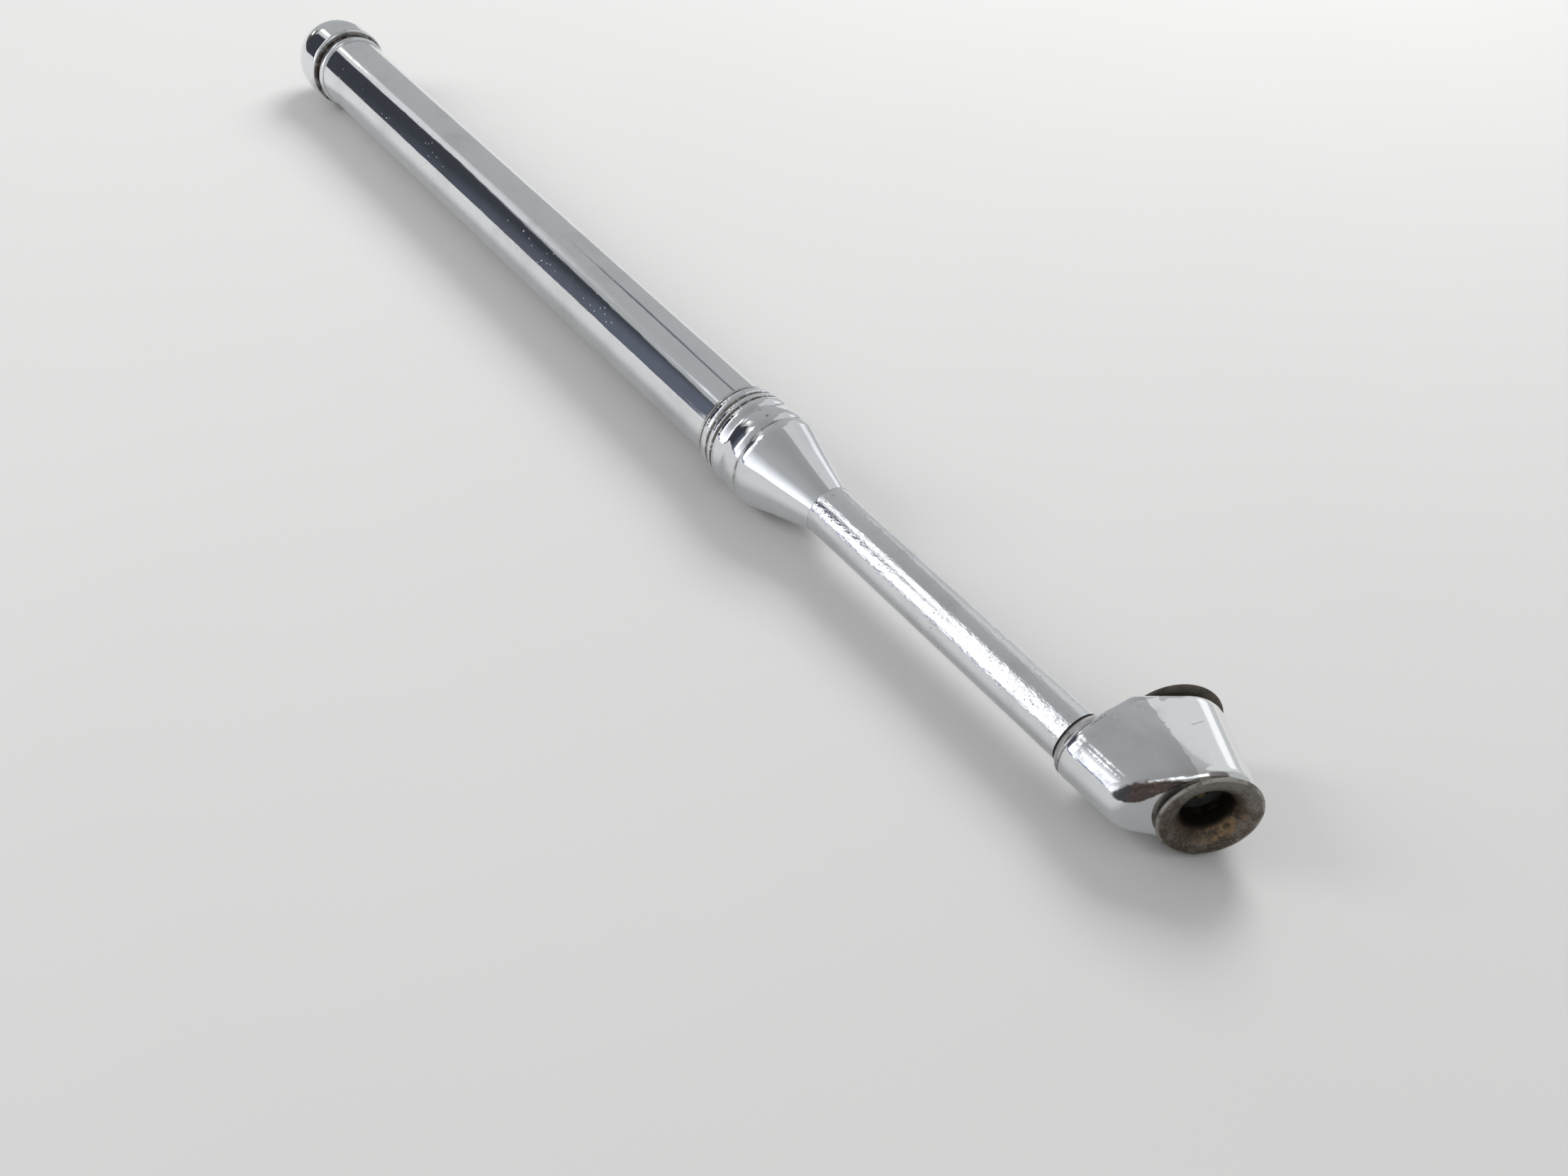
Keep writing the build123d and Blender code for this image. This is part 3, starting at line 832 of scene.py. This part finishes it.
def footFinish(name, turn, tarnish):
    finish = Finish(name)
    place = finish.local(headMiddle, turn)
    out, across, up = place.parts()
    bore, mouth, neck = feet["bore"], feet["mouth"], feet["neck"]
    radius = finish.maker.maths("SQRT", across * across + up * up)
    blotch = finish.noise(place, feet["blotchScale"], 6.0, 0.62)
    fine = finish.noise(place, feet["fineScale"], 5.0, 0.7)
    speck = finish.cells(place, feet["speckScale"])
    # painted reflection of the sky: greyer towards the top, mixed with random blotches of brown
    brownness = blotch + up * 14 - 0.02  # greyer at the top, browner below
    colour = mixColours(brownness.step(0.40, 0.62), feet["brown"], feet["grey"])
    colour = mixColours(fine.step(0.50, 0.72) * 0.45, colour, feet["pale"])
    colour = mixColours((1 - fine.step(0.30, 0.44)) * 0.5, colour, feet["dark"])
    # pale in patches along the rim: wear, and a painted highlight on the rim's edge
    rim = radius.step(feet["radius"] * 0.925, feet["radius"] * 0.975)
    worn = rim * finish.noise(place, feet["wearScale"], 4.0).step(0.34, 0.56)
    colour = mixColours(worn * (0.75 - tarnish * 0.6), colour, feet["pale"])
    # painted shade darkens the funnel; a painted lit patch of gold shows at one side of it, below
    lip = (1 - radius.step(mouth, mouth + 0.0008)) * radius.step(bore, bore + 0.0003)
    rust = (1 - speck.step(0.15, 0.4)) * finish.noise(place, 300.0, 2.0).step(0.45, 0.6)
    funnel = 1 - radius.step(bore + 0.0002, mouth + 0.0007)
    colour = mixColours(funnel.smaller(0.9), colour, feet["lip"])
    corner = across.step(-0.002, 0.004) * (1 - up.step(-0.002, 0.003))
    warm = lip * finish.noise(place, 700.0, 4.0, 0.6).step(0.40, 0.62) * (0.08 + corner * 0.6)
    colour = mixColours((rust * 0.35 + warm).smaller(0.8), colour, feet["gold"])
    # painted light makes the rim's back paler, it is darker all over where it is tarnished, and painted
    #     # shade makes it darkest in the bore
    back = 1 - out.step(feet["rimBack"] - 0.0003, feet["rimBack"])
    back = back * radius.step(neck, neck + 0.0003)
    colour = mixColours(back * (0.45 - tarnish * 0.5), colour, feet["pale"])
    colour = mixColours(tarnish * 0.8, colour, feet["lip"])
    depth = 1 - out.step(feet["seat"] - 0.0012, feet["seat"] + 0.0004)
    inner = depth * (1 - radius.step(bore + 0.0002, bore + 0.0006))
    colour = mixColours(inner * 0.8, colour, feet["dark"])
    finish.wire("Base Color", colour)
    finish.wire("Metallic", feet["metallic"])
    finish.wire("Roughness", feet["roughness"] + fine * 0.22 - worn * 0.14)
    finish.bump((blotch, feet["blotchHeight"]), (fine, feet["fineHeight"]))
    return finish.material


def makeFoot(name, facing, node, tarnish):
    turn = Matrix((facing, headUp.cross(facing), headUp)).transposed()
    face = feet["face"]
    outline = [
        (feet["inside"], feet["relief"]),
        (feet["inside"], feet["shank"]),
        (feet["seat"], feet["shank"]),
        (feet["seat"], feet["neck"]),
        (feet["rimBack"], feet["radius"]),
        (face - feet["rimDrop"], feet["radius"]),
        (face, feet["crown"]),
        (face - feet["mouthDrop"], feet["mouth"] + feet["mouthLip"]),
        (face - feet["funnelDrop"], feet["bore"]),
        (feet["step"], feet["bore"]),
        (feet["step"], feet["relief"]),
    ]
    piece = turned(name, outline, feet["rounded"], Matrix.Translation(headMiddle) @ turn.to_4x4())
    piece.data.materials.append(footFinish(name + "_metal", turn, tarnish))
    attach(piece, "casing")
    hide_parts(node)


makeFoot("front_disc", forward, "front_foot", 0.0)
makeFoot("rear_disc", -forward, "rear_foot", 0.8)
print("scene: feet")


# The finishes of the pieces inside: two colours in blotches, the blotches' scale per metre and height
# in metres, and the nodes that wear them.
innerFinishes = {
    "blackRubber": {
        "colours": (rgb(0.028, 0.028, 0.03), rgb(0.05, 0.048, 0.045)),
        "metallic": 0.0,
        "roughness": 0.55,
        "scale": 700.0,
        "height": 0.00004,
        "nodes": [
            "front_foot_washer", "rear_foot_washer", "front_pin_seal", "rear_pin_seal", "stem_washer",
            "ferrule_gasket",
        ],
    },
    "turnedBrass": {
        "colours": (rgb(0.60, 0.44, 0.19), rgb(0.48, 0.33, 0.13)),
        "metallic": 1.0,
        "roughness": 0.22,
        "scale": 900.0,
        "height": 0.000006,
        "stretch": (3.0, 0.4, 0.4),
        "nodes": ["bar_guide", "piston_body", "cup_spreader", "inlet_strainer", "bar_tail"],
    },
    # the depressor pin's brass is painted dark as the shade inside the bore it sits in
    "shadedPinBrass": {
        "colours": (rgb(0.14, 0.10, 0.055), rgb(0.085, 0.06, 0.035)),
        "metallic": 0.9,
        "roughness": 0.38,
        "scale": 900.0,
        "height": 0.00001,
        "nodes": ["depressor_pin"],
    },
    "oiledLeather": {
        "colours": (rgb(0.17, 0.085, 0.04), rgb(0.10, 0.05, 0.025)),
        "metallic": 0.0,
        "roughness": 0.5,
        "scale": 1300.0,
        "height": 0.00012,
        "nodes": ["piston_cup"],
    },
    "plainSteel": {
        "colours": (rgb(0.46, 0.47, 0.48), rgb(0.36, 0.36, 0.36)),
        "metallic": 1.0,
        "roughness": 0.24,
        "scale": 600.0,
        "height": 0.00001,
        "nodes": ["piston_nut", "spring_seat", "friction_clip", "main_spring"],
    },
}


def plainFinish(name, use):
    finish = Finish(name)
    place = finish.stretched(finish.place, use.get("stretch", (1.0, 1.0, 1.0)))
    blotch = finish.noise(place, use["scale"], 5.0, 0.6)
    fine = finish.noise(place, use["scale"] * 6, 4.0, 0.65)
    finish.wire("Base Color", mixColours(blotch.step(0.35, 0.68), *use["colours"]))
    finish.wire("Metallic", use["metallic"])
    finish.wire("Roughness", use["roughness"] + fine * 0.18)
    finish.bump((blotch, use["height"]), (fine, use["height"] * 0.4))
    return finish.material


for finishName, values in innerFinishes.items():
    dressNodes(plainFinish(finishName, values), *values["nodes"])
print("scene: inner pieces")

springWeld = 0.000001  # metres between points that become one


# The spring is one piece, welded from a copy of the frame's spring.
def makeSpring():
    softSpring = frame["nodes"]["main_spring"].copy()
    softSpring.data = softSpring.data.copy()
    softSpring.parent = None
    softSpring.name = "coil_spring"
    for key in list(softSpring.keys()):
        del softSpring[key]
    bpy.context.scene.collection.objects.link(softSpring)
    shape = bmesh.new()
    shape.from_mesh(softSpring.data)
    bmesh.ops.remove_doubles(shape, verts=shape.verts[:], dist=springWeld)
    shape.to_mesh(softSpring.data)
    shape.free()
    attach(softSpring, "casing")
    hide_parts("main_spring")
    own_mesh(softSpring)


makeSpring()
print("scene: spring")

# The indicator bar: satin metal, dark paint in its marks, and plain numbers by the long marks.
bar = {
    "bright": rgb(0.66, 0.66, 0.64),
    "dull": rgb(0.52, 0.52, 0.50),
    "paint": rgb(0.02, 0.02, 0.02),
    "grain": (40.0, 2400.0, 2400.0),
    "blotchScale": 240.0,
    "lineHeight": 0.000006,
    "markDepth": 0.00004,  # the paint starts one to two of these under the top and ends four to five under
    "markReach": (0.0021, 0.00212),  # from the bar's middle, where the paint ends
    "scaleLength": 0.0598,
    "numbers": 6,
    "step": 20,
    "textSize": 0.0017,
    "textHeight": 0.00002,
    "textBack": 0.2,  # from the mark, as a share of the marks' spacing
    "textSide": 0.0011,  # from the bar's middle
}
numberFinish = {
    "colours": (bar["paint"], rgb(0.04, 0.04, 0.04)),
    "metallic": 0.0,
    "roughness": 0.5,
    "scale": 900.0,
    "height": 0.000005,
}


def barFinish():
    finish = Finish("barMetal")
    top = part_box("indicator_bar")[1].z
    depth = bar["markDepth"]
    y, z = finish.place.parts()[1:]
    grain = finish.noise(finish.stretched(finish.place, bar["grain"]), 1.0, 4.0, 0.6)
    blotch = finish.noise(finish.place, bar["blotchScale"], 4.0)
    inMark = (1 - z.step(top - depth * 2, top - depth)) * z.step(top - depth * 5, top - depth * 4)
    painted = (1 - (y - axisPoint.y).absolute().step(*bar["markReach"])) * inMark
    colour = mixColours(blotch.step(0.4, 0.65), bar["bright"], bar["dull"])
    finish.wire("Base Color", mixColours(painted, colour, bar["paint"]))
    finish.wire("Metallic", 1 - painted)
    finish.wire("Roughness", 0.26 + grain * 0.16 + painted * 0.2)
    finish.bump((grain, bar["lineHeight"]))
    return finish.material


def barNumbers():
    low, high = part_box("indicator_bar")
    spacing = bar["scaleLength"] / bar["numbers"]
    shape = bmesh.new()
    for index in range(bar["numbers"]):
        curve = bpy.data.curves.new("number", "FONT")
        curve.body = str((index + 1) * bar["step"])
        curve.size = bar["textSize"]
        curve.align_x = "CENTER"
        curve.align_y = "CENTER"
        curve.extrude = bar["textHeight"]
        curve.resolution_u = 3
        text = bpy.data.objects.new("number", curve)
        mesh = bpy.data.meshes.new_from_object(text)
        x = low.x + spacing * (index + 1) - spacing * bar["textBack"]
        place = Vector((x, axisPoint.y + bar["textSide"], high.z))
        mesh.transform(Matrix.Translation(place) @ Matrix.Rotation(math.pi, 4, "Z"))
        shape.from_mesh(mesh)
        bpy.data.objects.remove(text)
    made = bpy.data.meshes.new("bar_numbers")
    shape.to_mesh(made)
    shape.free()
    numbers = bpy.data.objects.new("bar_numbers", made)
    bpy.context.scene.collection.objects.link(numbers)
    made.materials.append(plainFinish("numberPaint", numberFinish))
    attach(numbers, "indicator")


dressNodes(barFinish(), "indicator_bar")
barNumbers()
print("scene: indicator bar")

# Floor, light and camera
stage = {
    "floorColour": rgb(0.62, 0.62, 0.61),
    "floorCloud": rgb(0.56, 0.56, 0.55),
    "cloudScale": 9.0,
    "cloudStrength": 0.12,
    "floorRoughness": 0.75,
    "floorRadius": 3.0,
    "floorSides": 96,
    "skyColour": rgb(0.86, 0.87, 0.88),
    "ambientColour": rgb(0.55, 0.55, 0.56),
    "keyPlace": (-0.35, 0.55, 0.65),
    "keySize": 0.45,
    "keyPower": 6.3,
    "windowPlace": (-0.42, -0.62, 0.48),
    "windowSize": (0.30, 0.42),
    "windowPower": 2.9,
}


def makeFloor():
    shape = bmesh.new()
    bmesh.ops.create_circle(
        shape,
        cap_ends=True,
        segments=stage["floorSides"],
        radius=stage["floorRadius"],
    )
    mesh = bpy.data.meshes.new("floor")
    shape.to_mesh(mesh)
    shape.free()
    floor = bpy.data.objects.new("floor", mesh)
    bpy.context.scene.collection.objects.link(floor)
    finish = Finish("paleFloor")
    cloud = finish.noise(finish.place, stage["cloudScale"]).step(0.3, 0.7) * stage["cloudStrength"]
    finish.wire("Base Color", mixColours(cloud, stage["floorColour"], stage["floorCloud"]))
    finish.wire("Roughness", stage["floorRoughness"])
    mesh.materials.append(finish.material)


# What polished metal mirrors above the floor: a grey studio with windows and dark screens in it. Angles
# are in degrees. A panel has its name, its limits of azimuth and of elevation, how soft each pair of
# edges is, and its colour. A round lamp has its name, azimuth, elevation and radius.
studio = {
    "walls": rgb(0.455, 0.47, 0.475),
    "ceiling": rgb(0.36, 0.36, 0.365),
    "ceilingStart": 62.0,
    "ceilingSoft": 26.0,
    "farWall": rgb(0.66, 0.68, 0.685),
    "farWallSides": (78, 123.95),
    "farWallHeights": (17, 67),
    "farWallSoft": (0.18, 1.0),
    "lean": 1.5,  # of the far wall's edge, for each degree within leanReach of leanHeight
    "leanHeight": 42,
    "leanReach": 2,
    "panels": [
        ("far wall's foot", (78, 124), (-5, 17), (1.5, 1.5), rgb(0.56, 0.58, 0.59)),
        ("far strip", (97, 112), (12, 27), (3.0, 3.0), rgb(1.02, 1.04, 1.07)),
        ("front lamp", (-40, -4), (41, 70), (3.0, 3.0), rgb(1.5, 1.55, 1.6)),
        ("thin screen", (151, 156), (37, 48), (1.0, 1.0), rgb(0.18, 0.19, 0.20)),
        ("left strip", (-176, -160), (28, 41), (3.0, 4.0), rgb(0.76, 0.77, 0.78)),
        ("dark corner", (-175, -158), (-40, 22), (2.0, 3.0), rgb(0.095, 0.095, 0.09)),
        ("dark screen", (-163, -129), (-40, 35.5), (1.2, 1.2), rgb(0.048, 0.053, 0.064)),
        ("blue screen", (-141, -122), (-40, 35.5), (7.0, 1.2), rgb(0.125, 0.14, 0.18)),
        ("upper window", (-152, -129), (42, 57), (3.0, 3.0), rgb(1.4, 1.4, 1.45)),
        ("tall window", (-129, -120), (-12, 46), (1.5, 1.5), rgb(1.5, 1.5, 1.55)),
        ("window", (-121, -112), (-12, 34), (1.5, 12.0), rgb(1.5, 1.5, 1.55)),
        ("window bar", (-129, -112), (33, 34.6), (0.7, 0.7), rgb(0.85, 0.86, 0.9)),
        ("low window", (-112, -86), (-12, 22), (5.0, 18.0), rgb(1.35, 1.38, 1.45)),
        ("window sill", (-129, -110), (-3, 3.6), (2.0, 0.6), rgb(0.25, 0.30, 0.42)),
    ],
    "lamps": [("low lamp", -172, 12, 3.4), ("high lamp", -173, 30.5, 3.2)],
    "lampTone": rgb(1.9, 1.8, 1.65),
    "lampSoft": 0.6,
}


# 1 between the limits and 0 outside, with soft edges
def between(value, limits, soft):
    low, high = limits
    return value.step(low - soft, low + soft) * (1 - value.step(high - soft, high + soft))


# The direction of an azimuth and an elevation
def aimed(side, height):
    flat = math.cos(math.radians(height))
    return (
        flat * math.cos(math.radians(side)),
        flat * math.sin(math.radians(side)),
        math.sin(math.radians(height)),
    )


def studioColour(maker):
    direction = maker.node("ShaderNodeTexCoord", out=0)  # in a world, the direction of the ray
    x, y, z = direction.parts()
    azimuth = maker.maths("ARCTAN2", y, x) * math.degrees(1)
    elevation = maker.maths("ARCSINE", z) * math.degrees(1)
    start, soft = studio["ceilingStart"], studio["ceilingSoft"]
    colour = mixColours(elevation.step(start - soft, start + soft), studio["walls"], studio["ceiling"])
    # the far wall's edge leans a little at the height of the chuck's flat
    softSides, softHeights = studio["farWallSoft"]
    reach = studio["leanReach"]
    leaning = azimuth + (elevation - studio["leanHeight"]).larger(-reach).smaller(reach) * studio["lean"]
    farWall = between(leaning, studio["farWallSides"], softSides)
    farWall = farWall * between(elevation, studio["farWallHeights"], softHeights)
    colour = mixColours(farWall, colour, studio["farWall"])
    for _, sides, heights, (softSides, softHeights), tone in studio["panels"]:
        mask = between(azimuth, sides, softSides) * between(elevation, heights, softHeights)
        colour = mixColours(mask, colour, tone)
    for _, side, height, radius in studio["lamps"]:
        closeness = maker.node(
            "ShaderNodeVectorMath",
            {"operation": "DOT_PRODUCT"},
            {0: direction, 1: aimed(side, height)},
            out="Value",
        )
        apart = maker.maths("ARCCOSINE", closeness) * math.degrees(1)
        mask = 1 - apart.step(radius - studio["lampSoft"], radius + studio["lampSoft"])
        colour = mixColours(mask, colour, studio["lampTone"])
    return colour


# The lamps and a soft ambient light the object, polished metal mirrors the studio, and the camera sees a
# pale wall.
def makeWorld():
    world = bpy.data.worlds.new("studio")
    bpy.context.scene.world = world
    world.use_nodes = True
    tree = world.node_tree
    maker = Wire(tree)
    colour = studioColour(maker)
    toCamera = maker.node("ShaderNodeLightPath", out="Is Camera Ray")
    glossy = maker.node("ShaderNodeLightPath", out="Is Glossy Ray")
    through = maker.node("ShaderNodeLightPath", out="Is Transmission Ray")
    lit = mixColours(glossy, stage["ambientColour"], colour)
    sky = mixColours(toCamera.larger(through), lit, stage["skyColour"])
    background = tree.nodes["Background"]
    tree.links.new(sky.socket, background.inputs["Color"])
    background.inputs["Strength"].default_value = 1.0


def makeLight(name, place, width, height, power):
    lamp = bpy.data.lights.new(name, "AREA")
    lamp.shape = "RECTANGLE"
    lamp.size = width
    lamp.size_y = height
    lamp.energy = power
    light = bpy.data.objects.new(name, lamp)
    light.location = place
    light.rotation_euler = (-Vector(place)).to_track_quat("-Z", "Y").to_euler()  # towards the gauge
    light.visible_glossy = False  # the studio's panels stand for the lamps in polished metal
    bpy.context.scene.collection.objects.link(light)


camera = {
    "place": (0.23455, -0.17689, 0.20037),
    "right": (0.59179, 0.79683, 0.12185),
    "up": (-0.58566, 0.32116, 0.74422),
    "lens": 37.88,
    "sensor": 36.0,
    "clipStart": 0.01,
}


def makeCamera():
    data = bpy.data.cameras.new("camera")
    data.lens = camera["lens"]
    data.sensor_width = camera["sensor"]
    data.clip_start = camera["clipStart"]
    right = Vector(camera["right"]).normalized()
    up = Vector(camera["up"]).normalized()
    turn = Matrix((right, up, right.cross(up))).transposed()
    holder = bpy.data.objects.new("camera", data)
    holder.matrix_world = Matrix.Translation(camera["place"]) @ turn.to_4x4()
    bpy.context.scene.collection.objects.link(holder)
    bpy.context.scene.camera = holder


makeFloor()
makeWorld()
makeLight("key", stage["keyPlace"], stage["keySize"], stage["keySize"], stage["keyPower"])
makeLight("window", stage["windowPlace"], *stage["windowSize"], stage["windowPower"])
makeCamera()
bpy.context.scene.view_settings.view_transform = "Standard"
print("scene: floor, light and camera")
